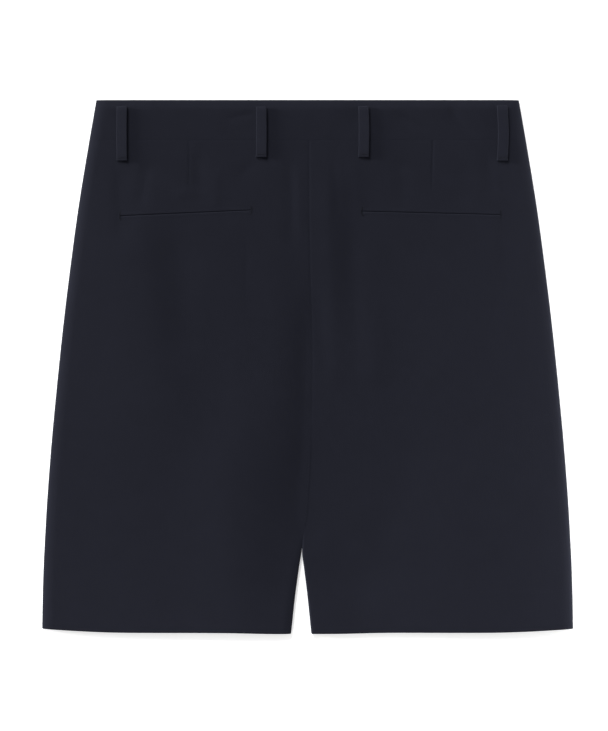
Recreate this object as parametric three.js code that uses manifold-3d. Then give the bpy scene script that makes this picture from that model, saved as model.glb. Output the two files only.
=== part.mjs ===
// Tailored bermuda shorts in wool cloth, laid flat on their front with the back upwards.
// Millimetres, +Z up. The waist points to +Y and the hems to -Y; the wearer's left is at -X.
// The origin lies on the surface, under the middle of the laid garment.
// The front panels lie on the surface and the back panels lie on them. The two roll over to meet
// each other in the side seams and, below the crotch, in the inside leg seams.

import * as THREE from "three";
import { mergeVertices } from "three/addons/utils/BufferGeometryUtils.js";
import Module from "manifold-3d";

const wasm = await Module();
wasm.setup();

// Driving sizes
const LENGTH = 533; // top fold of the waistband to the lowest point of the hems
const WAISTBAND_DEPTH = 40.5;
const SEAM = 0.3; // clearance between two pieces that are sewn together
const PANEL_CLOTH = 1.5; // thickness of a panel
const HEM_CLOTH = 2; // thickness where the hem is turned up inside
const HEM_DEPTH = 41;
const BAND_FRONT_CLOTH = 2; // waistband: cloth, stiffening and the turned-in cloth
const BAND_BACK_CLOTH = 2.2;
const BACK_LEVEL = 6.6; // height of the outer face of the back, away from folds
const BAND_LEVEL = 7; // height of the outer face of the back waistband
const SEAM_HEIGHT = 2.8; // height of the side and inside leg seams over the surface
const CROTCH_DOWN = 318; // crotch point, measured down from the waist fold
const CROTCH_EASE = 28; // above and below it the centre seam turns into two inner edges
const TOP_FOLD = 2.2; // depth of the rounding at the waistband's top fold

const WAIST_Y = LENGTH / 2;
const PANEL_TOP = WAISTBAND_DEPTH + SEAM;

// How far in from an edge the cloth starts to roll over, on the back and on the front
const BACK_ROLLS = { side: 11, inner: 7 };
const FRONT_ROLLS = { side: 3, inner: 3 };

// Levels down the garment: half of the laid width, the place of the centre seam, and the space
// between that line and the edge of each panel, which opens between the legs.
const LEVELS = [
  { down: 0, half: 211, centre: 1.6, parting: 0.15 },
  { down: 45, half: 218.8, centre: 1.6, parting: 0.15 },
  { down: 105, half: 228.6, centre: 1.6, parting: 0.15 },
  { down: 165, half: 236.8, centre: 2.6, parting: 0.15 },
  { down: 225, half: 244.1, centre: 4.2, parting: 0.15 },
  { down: 285, half: 250.4, centre: 4.6, parting: 0.15 },
  { down: 345, half: 256, centre: 2.4, parting: 0.3 },
  { down: 405, half: 260.5, centre: -1, parting: 0.4 },
  { down: 448, half: 262.8, centre: -5.6, parting: 0.5 },
  { down: 465, half: 263.6, centre: -6.1, parting: 2.6 },
  { down: 495, half: 264.5, centre: -6.3, parting: 6.1 },
  { down: 533, half: 265.2, centre: -6.4, parting: 10.1 },
];

// The hems rise a little towards the side seams.
const HEM_LINE = [
  { out: 0, lift: 0 },
  { out: 80, lift: 0.7 },
  { out: 185, lift: 1 },
  { out: 225, lift: 2.3 },
  { out: 266, lift: 4.9 },
];

// Soft ridges and troughs of the laid back. Each runs from one end to the other, and fades there.
const FOLDS = [
  { name: "seat valley", x0: 2, down0: 125, x1: -2, down1: 375, width: 30, rise: -1.5 },
  { name: "centre crease", x0: -2, down0: 190, x1: -5, down1: 470, width: 11, rise: -0.9 },
  { name: "seam ridge", x0: 15, down0: 60, x1: 20, down1: 300, width: 10, rise: 0.8 },
  { name: "right seat trough", x0: 42, down0: 50, x1: 46, down1: 285, width: 12, rise: -1.2 },
  { name: "right seat ridge", x0: 58, down0: 115, x1: 70, down1: 295, width: 11, rise: 0.8 },
  { name: "right outer trough", x0: 79, down0: 145, x1: 88, down1: 300, width: 11, rise: -0.7 },
  { name: "left seat ridge", x0: -40, down0: 90, x1: -36, down1: 270, width: 13, rise: 0.5 },
  { name: "left seat trough", x0: -62, down0: 120, x1: -56, down1: 340, width: 15, rise: -0.8 },
  { name: "left hip ridge", x0: -98, down0: 110, x1: -90, down1: 345, width: 13, rise: 0.7 },
  { name: "left hip trough", x0: -132, down0: 100, x1: -116, down1: 345, width: 15, rise: -1 },
  { name: "left outer ridge", x0: -166, down0: 110, x1: -158, down1: 310, width: 14, rise: 0.5 },
  { name: "right side hollow", x0: 160, down0: 130, x1: 170, down1: 330, width: 19, rise: -0.6 },
  { name: "left leg ridge", x0: -90, down0: 370, x1: -96, down1: 500, width: 20, rise: 0.6 },
  { name: "left leg slope", x0: -22, down0: 350, x1: -16, down1: 520, width: 28, rise: -1.2 },
  { name: "right leg ridge", x0: 12, down0: 380, x1: 9, down1: 500, width: 12, rise: 0.5 },
  { name: "right leg hollow", x0: 44, down0: 385, x1: 50, down1: 510, width: 16, rise: -0.9 },
];

// Belt loops. On the back they stand clear of the waistband; on the front they are pressed flat.
const BACK_LOOPS = [
  { name: "outer_left", x: -185, top: 6.5, foot: 61 },
  { name: "inner_left", x: -46.2, top: 7, foot: 57.5 },
  { name: "inner_right", x: 55.8, top: 6.5, foot: 57.5 },
  { name: "outer_right", x: 193.8, top: 6, foot: 61 },
];
const FRONT_LOOPS = [
  { name: "left", x: -108, top: 6.5, foot: 59 },
  { name: "right", x: 108, top: 6.5, foot: 59 },
];
const LOOP_WIDTH = 10.5;
const LOOP_CLOTH = 1.5;
const LOOP_STAND_OFF = 1.5; // room left for a belt between the waistband and a back loop
const LOOP_FOOT = 5; // length sewn down at each end
const LOOP_RISE = 8; // length over which it then lifts off
const LOOP_CHAMFER = 0.4;

// Darts under the back waistband, one in each panel
const DARTS = { "-1": { top: -118, point: -118 }, 1: { top: 125, point: 124 } };
const DART_LENGTH = 52;
const DART_GROOVE = 0.6;
const DART_HALF = 1.6;

// Back pocket mouths, each with two narrow welts that meet along the slit
const POCKETS = [
  { name: "left", inner: -56.8, outer: -186.7, innerDown: 110.2, outerDown: 116 },
  { name: "right", inner: 54.8, outer: 192.4, innerDown: 111.2, outerDown: 114.8 },
];
const WELT_WIDTH = 4;
const WELT_CLOTH = 1;
const SLIT = 0.4;

// Front closure: a waist button, and a zip inside the fly
const BUTTON = { x: -10, down: 20, radius: 8.5, thickness: 2.4, rim: 1.4, holeRadius: 0.9, holePitch: 3 };
const ZIP = { x: -12, top: 47, bottom: 178, tapeHalf: 13, tape: 0.8, chainHalf: 2.6, chain: 1.2 };
const SLIDER = { top: 48, bodyLength: 9, bodyHalf: 4, tabLength: 20, tabHalf: 2.6, thickness: 1.2, hole: 1.5 };

// Small mathematics
const clamp = (value, low, high) => Math.min(high, Math.max(low, value));
const ease = (from, to, value) => {
  const t = clamp((value - from) / (to - from), 0, 1);
  return t * t * (3 - 2 * t);
};
const mix = (from, to, share) => from + (to - from) * share;
const spread = (from, to, count) => Array.from({ length: count + 1 }, (_, i) => mix(from, to, i / count));
const increasing = (values) => [...new Set(values)].sort((a, b) => a - b);

// A smooth curve through one column of a table, as a function of its key column
function curveOf(table, key, column) {
  const slope = (i) => {
    const before = table[Math.max(i - 1, 0)];
    const after = table[Math.min(i + 1, table.length - 1)];
    return (after[column] - before[column]) / (after[key] - before[key]);
  };
  return (value) => {
    const at = clamp(value, table[0][key], table.at(-1)[key]);
    const i = table.slice(1, -1).filter((row) => row[key] <= at).length;
    const span = table[i + 1][key] - table[i][key];
    const t = (at - table[i][key]) / span;
    const startPull = (t ** 3 - 2 * t ** 2 + t) * span * slope(i);
    const endPull = (t ** 3 - t ** 2) * span * slope(i + 1);
    return mix(table[i][column], table[i + 1][column], t * t * (3 - 2 * t)) + startPull + endPull;
  };
}

const halfWidth = curveOf(LEVELS, "down", "half");
const centreLine = curveOf(LEVELS, "down", "centre");
const parting = curveOf(LEVELS, "down", "parting");
const hemLift = curveOf(HEM_LINE, "out", "lift");

// Place along the garment, with the shape of the hem line worked in
function placeY(x, down) {
  return WAIST_Y - down + hemLift(Math.abs(x)) * ease(LENGTH - 3 * HEM_DEPTH, LENGTH, down);
}

// What one fold adds: bell-shaped across, and dying away towards both of its ends
function foldHeight(fold, x, down) {
  const along = clamp((down - fold.down0) / (fold.down1 - fold.down0), 0, 1);
  const across = (x - mix(fold.x0, fold.x1, along)) / fold.width;
  const fadeIn = ease(fold.down0, fold.down0 + 45, down);
  const fadeOut = 1 - ease(fold.down1 - 45, fold.down1, down);
  return fold.rise * Math.exp(-across * across) * fadeIn * fadeOut;
}

// Outer face of the back panels. The hems lie flatter, because they are double.
function backTop(x, down) {
  const folds = FOLDS.reduce((sum, fold) => sum + foldHeight(fold, x, down), 0);
  const hemFlat = 1 - 0.75 * ease(LENGTH - HEM_DEPTH - 6, LENGTH - HEM_DEPTH + 4, down);
  return BACK_LEVEL + folds * hemFlat;
}

// Outer face of the back waistband: raised over the closure, and rolling down to its top fold
function bandTop(x, down) {
  const overClosure = ease(-50, -18, x) * (1 - ease(22, 54, x));
  const roll = 1.3 * (1 - ease(-2, 7, down));
  return BAND_LEVEL + overClosure - roll;
}

// Underside of the front: on the surface, but lifted over the front loops and the button
function frontLow(x, down) {
  const overButton = BUTTON.thickness + SEAM;
  const fromButton = Math.hypot(x - BUTTON.x, down - BUTTON.down);
  const lifts = FRONT_LOOPS.map((loop) => {
    const beside = Math.abs(x - loop.x) - LOOP_WIDTH / 2;
    const past = Math.max(loop.top - down, down - loop.foot);
    return (LOOP_CLOTH + SEAM) * (1 - ease(1.5, 9, beside)) * (1 - ease(1.5, 9, past));
  });
  return Math.max(overButton * (1 - ease(10, 26, fromButton)), ...lifts);
}

const panelCloth = (down) => (down > LENGTH - HEM_DEPTH ? HEM_CLOTH : PANEL_CLOTH);

// The waistband's wall gets thinner in the last few millimetres before its top fold.
function bandCloth(cloth, down) {
  const before = clamp(1 - down / TOP_FOLD, 0, 1);
  return cloth * (0.4 + 0.6 * Math.sqrt(1 - before * before));
}

// How far the centre edge has turned from a flat seam into a rolled inner edge, in radians
const innerTurn = (down) => (Math.PI / 2) * ease(CROTCH_DOWN - CROTCH_EASE, CROTCH_DOWN + CROTCH_EASE, down);

// Distance from X = 0, towards its own side, of a panel's centre edge
const centreEdge = (side, down) => side * centreLine(down) + parting(down);

// Makes closed bodies from buffer geometry, and back
function solidFrom(geometry) {
  const bare = geometry.clone();
  bare.deleteAttribute("normal");
  bare.deleteAttribute("uv");
  const merged = mergeVertices(bare, 1e-4);
  const vertProperties = new Float32Array(merged.attributes.position.array);
  const triVerts = new Uint32Array(merged.index.array);
  return new wasm.Manifold(new wasm.Mesh({ numProp: 3, vertProperties, triVerts }));
}

function geometryFrom(solid) {
  const mesh = solid.getMesh();
  const geometry = new THREE.BufferGeometry();
  geometry.setAttribute("position", new THREE.Float32BufferAttribute(mesh.vertProperties, 3));
  geometry.setIndex(Array.from(mesh.triVerts));
  return geometry;
}

function signedVolume(position, index) {
  const corner = (i) => new THREE.Vector3().fromArray(position, 3 * i);
  let volume = 0;
  for (let i = 0; i < index.length; i += 3) {
    const [a, b, c] = [corner(index[i]), corner(index[i + 1]), corner(index[i + 2])];
    volume += a.dot(b.cross(c)) / 6;
  }
  return volume;
}

// Closes two grids of points, the outer and the inner face of one wall, into a body facing outwards.
function closedWall(outer, inner) {
  const rows = outer.length;
  const columns = outer[0].length;
  const position = [...outer.flat(), ...inner.flat()].flatMap((point) => point.toArray());
  const at = (face, row, column) => (face * rows + row) * columns + column;
  const index = [];
  const quad = (a, b, c, d) => index.push(a, b, c, a, c, d);
  for (let row = 0; row < rows - 1; row++) {
    for (let column = 0; column < columns - 1; column++) {
      quad(at(0, row, column), at(0, row + 1, column), at(0, row + 1, column + 1), at(0, row, column + 1));
      quad(at(1, row, column), at(1, row, column + 1), at(1, row + 1, column + 1), at(1, row + 1, column));
    }
    const last = columns - 1;
    quad(at(0, row, 0), at(1, row, 0), at(1, row + 1, 0), at(0, row + 1, 0));
    quad(at(0, row, last), at(0, row + 1, last), at(1, row + 1, last), at(1, row, last));
  }
  for (let column = 0; column < columns - 1; column++) {
    const last = rows - 1;
    quad(at(0, 0, column), at(0, 0, column + 1), at(1, 0, column + 1), at(1, 0, column));
    quad(at(0, last, column), at(1, last, column), at(1, last, column + 1), at(0, last, column + 1));
  }
  if (signedVolume(position, index) < 0) index.reverse();
  const geometry = new THREE.BufferGeometry();
  geometry.setAttribute("position", new THREE.Float32BufferAttribute(position, 3));
  geometry.setIndex(index);
  return geometry;
}

// A wall given by a function that returns the outer and the inner point of each station and row
function wallThrough(downs, stations, pointPair) {
  const rows = downs.map((down) => stations.map((station) => pointPair(station, down)));
  return closedWall(
    rows.map((row) => row.map((pair) => pair.outer)),
    rows.map((row) => row.map((pair) => pair.inner)),
  );
}

// Where a station lies: distance out from X = 0 of its outer and inner point, and its turn over the edge.
function across({ station, side, down, rolls, cloth }) {
  const sideStart = halfWidth(down) - rolls.side;
  const innerStart = centreEdge(side, down) + rolls.inner;
  if (station.part === "x") return { outer: side * station.x, inner: side * station.x, turn: 0 };
  if (station.part === "level") {
    const out = mix(sideStart, innerStart, station.share);
    return { outer: out, inner: out, turn: 0 };
  }
  if (station.part === "dart") {
    const dart = DARTS[side];
    const until = Math.min(down, PANEL_TOP + DART_LENGTH);
    const dartOut = side * mix(dart.top, dart.point, (until - PANEL_TOP) / DART_LENGTH);
    const [sideAt, innerAt] = [halfWidth(until) - rolls.side, centreEdge(side, until) + rolls.inner];
    const share = (sideAt - dartOut) / (sideAt - innerAt);
    const out = mix(sideStart, innerStart, share) + station.offset;
    return { outer: out, inner: out, turn: 0 };
  }
  const atSide = station.part === "side";
  const full = atSide ? Math.PI / 2 : innerTurn(down);
  const turn = station.turn * full;
  const reach = full > 0.01 ? Math.sin(turn) / Math.sin(full) : station.turn;
  const start = atSide ? sideStart : innerStart;
  const away = (atSide ? 1 : -1) * reach;
  const roll = atSide ? rolls.side : rolls.inner;
  return { outer: start + away * roll, inner: start + away * (roll - cloth * Math.sin(full)), turn };
}

// Outer and inner point of a piece of the back: it comes down over its edges to the seams.
function backPair({ station, side, down, cloth, level, groove = 0 }) {
  const place = across({ station, side, down, rolls: BACK_ROLLS, cloth });
  const seam = SEAM_HEIGHT + SEAM / 2;
  const rise = level(side * place.outer, down) - groove - seam;
  const point = (out, height) => new THREE.Vector3(side * out, placeY(side * out, down), seam + height);
  return {
    outer: point(place.outer, rise * Math.cos(place.turn)),
    inner: point(place.inner, (rise - cloth) * Math.cos(place.turn)),
  };
}

// The same for the front, which comes up over its edges.
function frontPair({ station, side, down, cloth, low = frontLow }) {
  const place = across({ station, side, down, rolls: FRONT_ROLLS, cloth });
  const seam = SEAM_HEIGHT - SEAM / 2;
  const drop = seam - low(side * place.outer, down);
  const point = (out, depth) => new THREE.Vector3(side * out, placeY(side * out, down), seam - depth);
  return {
    outer: point(place.outer, drop * Math.cos(place.turn)),
    inner: point(place.inner, (drop - cloth) * Math.cos(place.turn)),
  };
}

const TURNS = [1, 0.72, 0.4];
const sideTurns = TURNS.map((turn) => ({ part: "side", turn }));
const innerTurns = [...TURNS].reverse().map((turn) => ({ part: "inner", turn }));
const levels = (shares) => shares.map((share) => ({ part: "level", share }));
const byX = (values) => values.map((x) => ({ part: "x", x }));

// Back panels, each with its dart and its turned-up hem
const HEM_TOP = LENGTH - HEM_DEPTH;
const BACK_DOWNS = increasing([PANEL_TOP, 52, 66, 80, ...spread(94, 454, 18), 473, HEM_TOP, HEM_TOP + 1, 513, LENGTH]);

function dartGroove(station, down) {
  const depth = DART_GROOVE * (1 - ease(PANEL_TOP + 0.6 * DART_LENGTH, PANEL_TOP + DART_LENGTH, down));
  return station.part === "dart" && station.offset === 0 ? depth : 0;
}

// The cloth dips into the centre seam, as long as it is one flat seam.
function seamGroove(station, down) {
  const dip = station.part === "inner" ? 0.5 * station.turn ** 2 : 0;
  return dip * Math.cos(innerTurn(down));
}

const dartStations = [DART_HALF, 0, -DART_HALF].map((offset) => ({ part: "dart", offset }));
const outerLevels = levels(spread(0, 0.35, 8));
const innerLevels = levels(spread(0.5, 1, 12));
const backStations = [...sideTurns, ...outerLevels, ...dartStations, ...innerLevels, ...innerTurns];

function backPanelPair(side, station, down) {
  const groove = dartGroove(station, down) + seamGroove(station, down);
  return backPair({ station, side, down, cloth: panelCloth(down), level: backTop, groove });
}

const backPanel = (side) => wallThrough(BACK_DOWNS, backStations, (...at) => backPanelPair(side, ...at));

// Height of a back panel's outer face between its own points, for what lies on the panel
function panelHeight(x, down) {
  const side = Math.sign(x);
  const row = BACK_DOWNS.findLastIndex((at) => at <= down);
  const [above, below] = [row, row + 1].map((i) => {
    const points = backStations.map((station) => backPanelPair(side, station, BACK_DOWNS[i]).outer);
    const next = points.findIndex((point) => side * point.x < side * x);
    const [from, to] = [points[next - 1], points[next]];
    return mix(from.z, to.z, (x - from.x) / (to.x - from.x));
  });
  return mix(above, below, (down - BACK_DOWNS[row]) / (BACK_DOWNS[row + 1] - BACK_DOWNS[row]));
}

// Front panels, plain under the waistband
const FRONT_DOWNS = increasing([PANEL_TOP, 50, 60.5, 64, 68, ...spread(100, 460, 9), HEM_TOP, HEM_TOP + 1, LENGTH]);

function frontPanel(side) {
  const loop = FRONT_LOOPS.find(({ x }) => Math.sign(x) === side);
  const outAt = (x) => {
    const [start, end] = [halfWidth(loop.foot) - FRONT_ROLLS.side, centreEdge(side, loop.foot) + FRONT_ROLLS.inner];
    return (start - side * x) / (start - end);
  };
  const bed = [-14.5, -10.5, -6.5, 6.5, 10.5, 14.5].map((beside) => outAt(loop.x + beside));
  const shares = increasing([...spread(0, 0.36, 3), ...bed, ...spread(0.64, 1, 4)]);
  const stations = [...sideTurns, ...levels(shares), ...innerTurns];
  return wallThrough(FRONT_DOWNS, stations, (station, down) =>
    frontPair({ station, side, down, cloth: panelCloth(down) }),
  );
}

// Waistband: one piece across the back, and one for each side of the front
const BAND_DOWNS = [0, 0.7, TOP_FOLD, 7, 15, 27, WAISTBAND_DEPTH];

function backBand() {
  const flatHalf = halfWidth(0) - BACK_ROLLS.side - 2;
  const left = sideTurns.map((station) => ({ ...station, side: -1 }));
  const right = [...sideTurns].reverse().map((station) => ({ ...station, side: 1 }));
  const starts = [-1, 1].map((side) => ({ part: "level", share: 0, side }));
  const middle = byX(spread(-flatHalf + 8, flatHalf - 8, 24)).map((station) => ({ ...station, side: 1 }));
  const stations = [...left, starts[0], ...middle, starts[1], ...right];
  return wallThrough(BAND_DOWNS, stations, (station, down) => {
    const cloth = bandCloth(BAND_BACK_CLOTH, down);
    const level = (x) => bandTop(x, down) - (BAND_BACK_CLOTH - cloth) / 2;
    return backPair({ station, side: station.side, down, cloth, level });
  });
}

function frontBand(side) {
  const loop = FRONT_LOOPS.find(({ x }) => Math.sign(x) === side);
  const bed = [-14.5, -10.5, -6.5, 6.5, 10.5, 14.5].map((beside) => loop.x + beside);
  const between = [45, 65, 85, 132, 150, 170, 190].map((x) => side * x);
  const closure = side < 0 ? [-32, -26, -20, -15, -10, -5] : [8, 14, 20, 32];
  const middle = byX([...bed, ...between, ...closure].sort((a, b) => side * (b - a)));
  const end = { part: "end" };
  const stations = [...sideTurns, { part: "level", share: 0 }, ...middle, end];
  return wallThrough(BAND_DOWNS, stations, (station, down) => {
    const placed = station === end ? { part: "x", x: side * centreEdge(side, down) } : station;
    const cloth = bandCloth(BAND_FRONT_CLOTH, down);
    const low = (x, at) => frontLow(x, at) + (BAND_FRONT_CLOTH - cloth) / 2;
    return frontPair({ station: placed, side, down, cloth, low });
  });
}

// A strip closed at both ends. From its first corner a cross-section's other corners are all in sight.
function strip(sections) {
  const corners = sections[0].length;
  const position = sections.flat().flatMap((point) => point.toArray());
  const index = [];
  for (let i = 0; i < sections.length - 1; i++) {
    for (let j = 0; j < corners; j++) {
      const [a, b] = [i * corners + j, i * corners + ((j + 1) % corners)];
      index.push(a, b, b + corners, a, b + corners, a + corners);
    }
  }
  const lastStart = (sections.length - 1) * corners;
  for (let j = 1; j < corners - 1; j++) {
    index.push(0, j + 1, j, lastStart, lastStart + j, lastStart + j + 1);
  }
  if (signedVolume(position, index) < 0) index.reverse();
  const geometry = new THREE.BufferGeometry();
  geometry.setAttribute("position", new THREE.Float32BufferAttribute(position, 3));
  geometry.setIndex(index);
  return geometry;
}

// The surface that a back loop crosses: the waistband, then the panel just below it
function loopBed(x, down) {
  const onBand = bandTop(x, Math.min(down, WAISTBAND_DEPTH));
  const onPanel = panelHeight(x, Math.max(down, PANEL_TOP));
  return mix(onBand, onPanel, ease(WAISTBAND_DEPTH + 1, WAISTBAND_DEPTH + 12, down));
}

function backLoop({ x, top, foot }) {
  const half = LOOP_WIDTH / 2;
  const ends = [0, LOOP_FOOT, LOOP_FOOT + LOOP_RISE / 2, LOOP_FOOT + LOOP_RISE];
  const downs = [...ends.map((d) => top + d), ...spread(top + 21, foot - 21, 2), ...ends.map((d) => foot - d).reverse()];
  return strip(
    downs.map((down) => {
      const fromEnd = Math.min(down - top, foot - down);
      const bed = Math.max(loopBed(x - half, down), loopBed(x, down), loopBed(x + half, down));
      const low = bed + SEAM + LOOP_STAND_OFF * ease(LOOP_FOOT, LOOP_FOOT + LOOP_RISE, fromEnd);
      const corner = (dx, dz) => new THREE.Vector3(x + dx, WAIST_Y - down, low + dz);
      const bevel = LOOP_CHAMFER;
      return [
        corner(-half + bevel, 0),
        corner(half - bevel, 0),
        corner(half, bevel),
        corner(half, LOOP_CLOTH - bevel),
        corner(half - bevel, LOOP_CLOTH),
        corner(-half + bevel, LOOP_CLOTH),
        corner(-half, LOOP_CLOTH - bevel),
        corner(-half, bevel),
      ];
    }),
  );
}

// Cut from one flat outline, and chamfered all round
function flatPlate(points, thickness, chamfer) {
  const geometry = new THREE.ExtrudeGeometry(new THREE.Shape(points), {
    depth: thickness - 2 * chamfer,
    bevelThickness: chamfer,
    bevelSize: chamfer,
    bevelOffset: -chamfer,
    bevelSegments: 1,
  });
  return geometry.translate(0, 0, chamfer);
}

function rectangle(x, half, top, foot) {
  const [high, low] = [WAIST_Y - top, WAIST_Y - foot];
  return [
    new THREE.Vector2(x - half, low),
    new THREE.Vector2(x + half, low),
    new THREE.Vector2(x + half, high),
    new THREE.Vector2(x - half, high),
  ];
}

function frontLoop({ x, top, foot }) {
  return flatPlate(rectangle(x, LOOP_WIDTH / 2, top, foot), LOOP_CLOTH, LOOP_CHAMFER);
}

// One welt of a pocket mouth, laid on the panel: "beyond" is -1 for the upper and +1 for the lower one.
function welt(pocket, beyond) {
  const edges = [SLIT / 2, SLIT / 2 + WELT_WIDTH / 2, SLIT / 2 + WELT_WIDTH].map((d) => beyond * d);
  return strip(
    spread(0, 1, 12).map((along) => {
      const x = mix(pocket.inner, pocket.outer, along);
      const slit = mix(pocket.innerDown, pocket.outerDown, along);
      const point = (across, rise) => {
        const down = slit + across;
        return new THREE.Vector3(x, placeY(x, down), panelHeight(x, down) + SEAM + rise);
      };
      const [nearSlit, ridge, far] = edges;
      return [
        point(ridge, 0),
        point(far, 0),
        point(far, WELT_CLOTH / 2),
        point(ridge, WELT_CLOTH),
        point(nearSlit, WELT_CLOTH * 0.7),
        point(nearSlit, 0),
      ];
    }),
  );
}

// Four-hole button, face down: a raised rim round a shallow dish
function waistButton() {
  const { radius, thickness, rim, holeRadius, holePitch } = BUTTON;
  const dish = 0.5;
  const profile = [
    new THREE.Vector2(0, dish),
    new THREE.Vector2(radius - rim - 0.8, dish),
    new THREE.Vector2(radius - rim, 0),
    new THREE.Vector2(radius - 0.5, 0),
    new THREE.Vector2(radius, 0.5),
    new THREE.Vector2(radius, thickness - 0.5),
    new THREE.Vector2(radius - 0.5, thickness),
    new THREE.Vector2(0, thickness),
  ];
  const disc = new THREE.LatheGeometry(profile, 28).rotateX(Math.PI / 2);
  let solid = solidFrom(disc);
  if (solid.volume() < 0) solid = solidFrom(new THREE.LatheGeometry(profile, 28).rotateX(-Math.PI / 2));
  for (const [dx, dy] of [[-1, -1], [1, -1], [1, 1], [-1, 1]]) {
    const drill = new THREE.CylinderGeometry(holeRadius, holeRadius, 3 * thickness, 10).rotateX(Math.PI / 2);
    drill.translate((dx * holePitch) / 2, (dy * holePitch) / 2, thickness / 2);
    solid = solid.subtract(solidFrom(drill));
  }
  return geometryFrom(solid);
}

// Closed zip: two tapes with the chain between them, as one flat strip inside the fly
function flyZip() {
  const { x, top, bottom, tapeHalf, tape, chainHalf, chain } = ZIP;
  const low = PANEL_CLOTH + SEAM;
  const section = (down) => {
    const corner = (dx, dz) => new THREE.Vector3(x + dx, WAIST_Y - down, low + dz);
    return [
      corner(0, 0),
      corner(tapeHalf, 0),
      corner(tapeHalf, tape),
      corner(chainHalf, tape),
      corner(chainHalf - 0.6, chain),
      corner(0.6 - chainHalf, chain),
      corner(-chainHalf, tape),
      corner(-tapeHalf, tape),
      corner(-tapeHalf, 0),
    ];
  };
  return strip([section(top), section(bottom)]);
}

// Slider with its pull tab lying down the chain
function zipSlider() {
  const { top, bodyLength, bodyHalf, tabLength, tabHalf, thickness, hole } = SLIDER;
  const y = (down) => WAIST_Y - down;
  const neck = top + bodyLength;
  const foot = neck + tabLength;
  const outline = [
    [-bodyHalf, top + 2], [-bodyHalf + 1.5, top], [bodyHalf - 1.5, top], [bodyHalf, top + 2],
    [tabHalf, neck], [tabHalf, foot - 1.5], [tabHalf - 1.5, foot],
    [1.5 - tabHalf, foot], [-tabHalf, foot - 1.5], [-tabHalf, neck],
  ].map(([dx, down]) => new THREE.Vector2(dx, y(down)));
  const plate = flatPlate(outline.reverse(), thickness, 0.3);
  const drill = new THREE.CylinderGeometry(hole, hole, 3 * thickness, 12).rotateX(Math.PI / 2);
  drill.translate(0, y(foot - 4.5), thickness / 2);
  return geometryFrom(solidFrom(plate).subtract(solidFrom(drill)));
}

// Finishes
const NAVY = 0x24252d;
const cloth = () => new THREE.MeshStandardMaterial({ color: NAVY, roughness: 0.9, metalness: 0 });
const tape = () => new THREE.MeshStandardMaterial({ color: 0x1d1e24, roughness: 0.8, metalness: 0 });
const horn = () => new THREE.MeshStandardMaterial({ color: 0x17181c, roughness: 0.35, metalness: 0 });
const metal = () => new THREE.MeshStandardMaterial({ color: 0x55565a, roughness: 0.35, metalness: 1 });

function named(name, geometry, material) {
  const mesh = new THREE.Mesh(geometry, material);
  mesh.name = name;
  return mesh;
}

const shorts = new THREE.Group();
const sides = { left: -1, right: 1 };

for (const [name, side] of Object.entries(sides)) {
  shorts.add(named(`back_${name}`, backPanel(side), cloth()));
  shorts.add(named(`front_${name}`, frontPanel(side), cloth()));
  shorts.add(named(`waistband_front_${name}`, frontBand(side), cloth()));
}
shorts.add(named("waistband_back", backBand(), cloth()));

for (const loop of BACK_LOOPS) shorts.add(named(`belt_loop_back_${loop.name}`, backLoop(loop), cloth()));
for (const loop of FRONT_LOOPS) shorts.add(named(`belt_loop_front_${loop.name}`, frontLoop(loop), cloth()));

for (const pocket of POCKETS) {
  shorts.add(named(`pocket_welt_${pocket.name}_upper`, welt(pocket, -1), cloth()));
  shorts.add(named(`pocket_welt_${pocket.name}_lower`, welt(pocket, 1), cloth()));
}

const button = named("waist_button", waistButton(), horn());
button.position.set(BUTTON.x, WAIST_Y - BUTTON.down, 0);
shorts.add(button);

shorts.add(named("fly_zip", flyZip(), tape()));
const slider = named("zip_slider", zipSlider(), metal());
slider.position.set(ZIP.x, 0, PANEL_CLOTH + ZIP.chain + 2 * SEAM);
shorts.add(slider);

export default shorts;
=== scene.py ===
import functools
import math
from collections import namedtuple

import bpy
from mathutils import Matrix, Vector


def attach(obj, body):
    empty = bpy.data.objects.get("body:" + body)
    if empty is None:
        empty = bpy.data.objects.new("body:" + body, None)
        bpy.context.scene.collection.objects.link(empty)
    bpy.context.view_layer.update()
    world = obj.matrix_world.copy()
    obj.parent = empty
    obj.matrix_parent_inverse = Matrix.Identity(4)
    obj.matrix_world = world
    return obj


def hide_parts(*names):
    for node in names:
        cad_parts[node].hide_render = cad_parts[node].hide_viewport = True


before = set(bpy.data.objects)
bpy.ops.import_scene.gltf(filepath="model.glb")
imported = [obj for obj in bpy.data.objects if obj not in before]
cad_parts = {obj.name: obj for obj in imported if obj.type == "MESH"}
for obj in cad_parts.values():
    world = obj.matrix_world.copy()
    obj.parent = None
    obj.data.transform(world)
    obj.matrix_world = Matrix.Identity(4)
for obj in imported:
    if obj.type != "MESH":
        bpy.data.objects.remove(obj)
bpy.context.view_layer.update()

# Back panels
# Two panels of worsted wool, seamed down the middle of the seat. Each has one dart under the waistband,
# rounds over at its side and inside leg seams, and is turned up at the hem.
MM = 0.001
LENGTH = 533
WAISTBAND_DEPTH = 40.5
TUCK = 2.5
TUCK_SINK = 0.7
TUCK_EDGE = 0.5
WAIST_Y = LENGTH / 2
HEM_DEPTH = 41
HEM_TOP = LENGTH - HEM_DEPTH
HEM_FOLD = 1.5
HEM_STEP = 0.1
HEM_STEP_REACH = 2
HEM_FLATTENING = 0.5
HEM_FLATTENING_REACH = 30
CLOTH = 0.6
CREASE_ANGLE = 50
SEAM_HEIGHT = 2.4
BACK_LEVEL = 6.6
LIES_ON_FRONT = 2.2
LANDING_SOFTNESS = 0.5
SIDE_ROLL = 12
SIDE_DROPS = {-1: {"start": 150, "drop": 1.1}, 1: {"start": 180, "drop": 0.2}}
SIDE_DROP_END = 262
INNER_ROLLS = {-1: 9, 1: 2.2}
FLAT_TURN = 0.01
CROTCH_DOWN = 318
CROTCH_EASE = 28

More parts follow.
